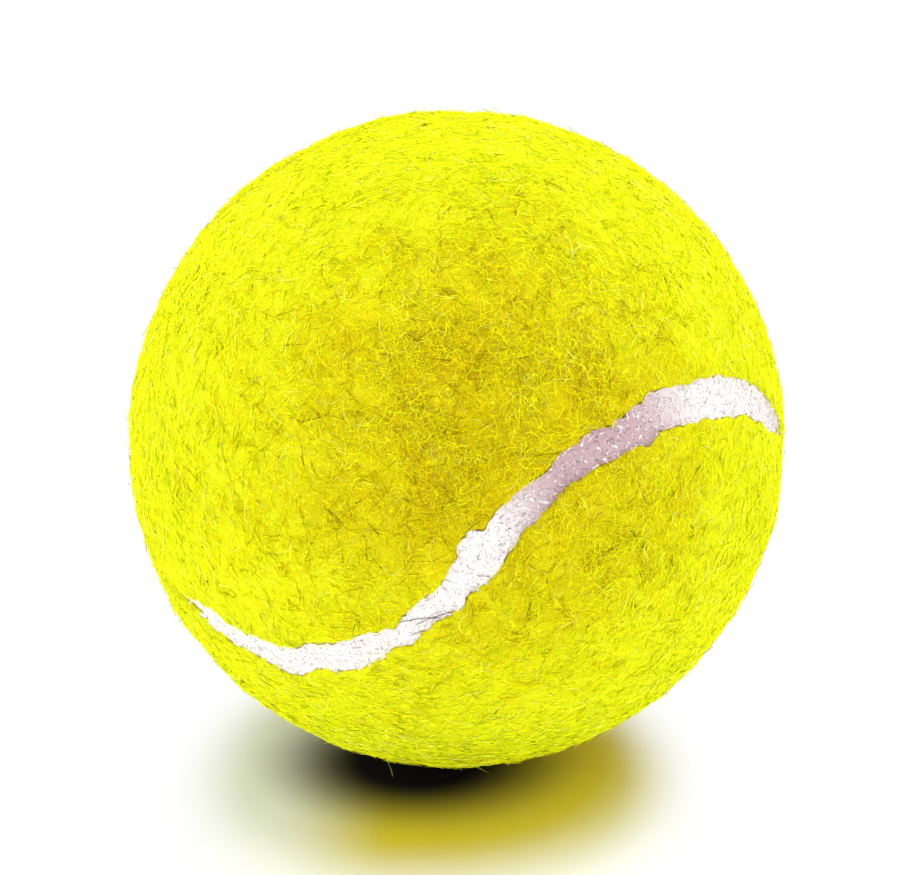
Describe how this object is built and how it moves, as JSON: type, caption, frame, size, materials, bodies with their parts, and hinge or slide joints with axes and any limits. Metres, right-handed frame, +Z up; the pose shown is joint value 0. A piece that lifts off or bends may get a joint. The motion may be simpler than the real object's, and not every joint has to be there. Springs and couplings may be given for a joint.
{
  "type": "tennis ball",
  "caption": "Hollow rubber ball covered by interlocking dog-bone felt panels with a recessed white rubber seam between them.",
  "frame": {"origin": "centre of the ball", "axes": "+Z straight up from the ground as the ball lies in the picture, -Y towards the camera, +X to the camera's right"},
  "size_m": [0.067, 0.067, 0.067],
  "materials": {
    "core_rubber": "moulded, dull",
    "cement": "cured rubber solution, satin",
    "felt": "brushed woven felt, optic yellow",
    "seam_rubber": "vulcanised, matt"
  },
  "bodies": {
    "root": {"core_half_a": "core_rubber", "core_half_b": "core_rubber", "core_joint_cement": "cement", "panel_cement_a": "cement", "panel_cement_b": "cement", "felt_panel_a": "felt", "felt_panel_b": "felt", "seam_band": "seam_rubber"}
  },
  "joints": []
}
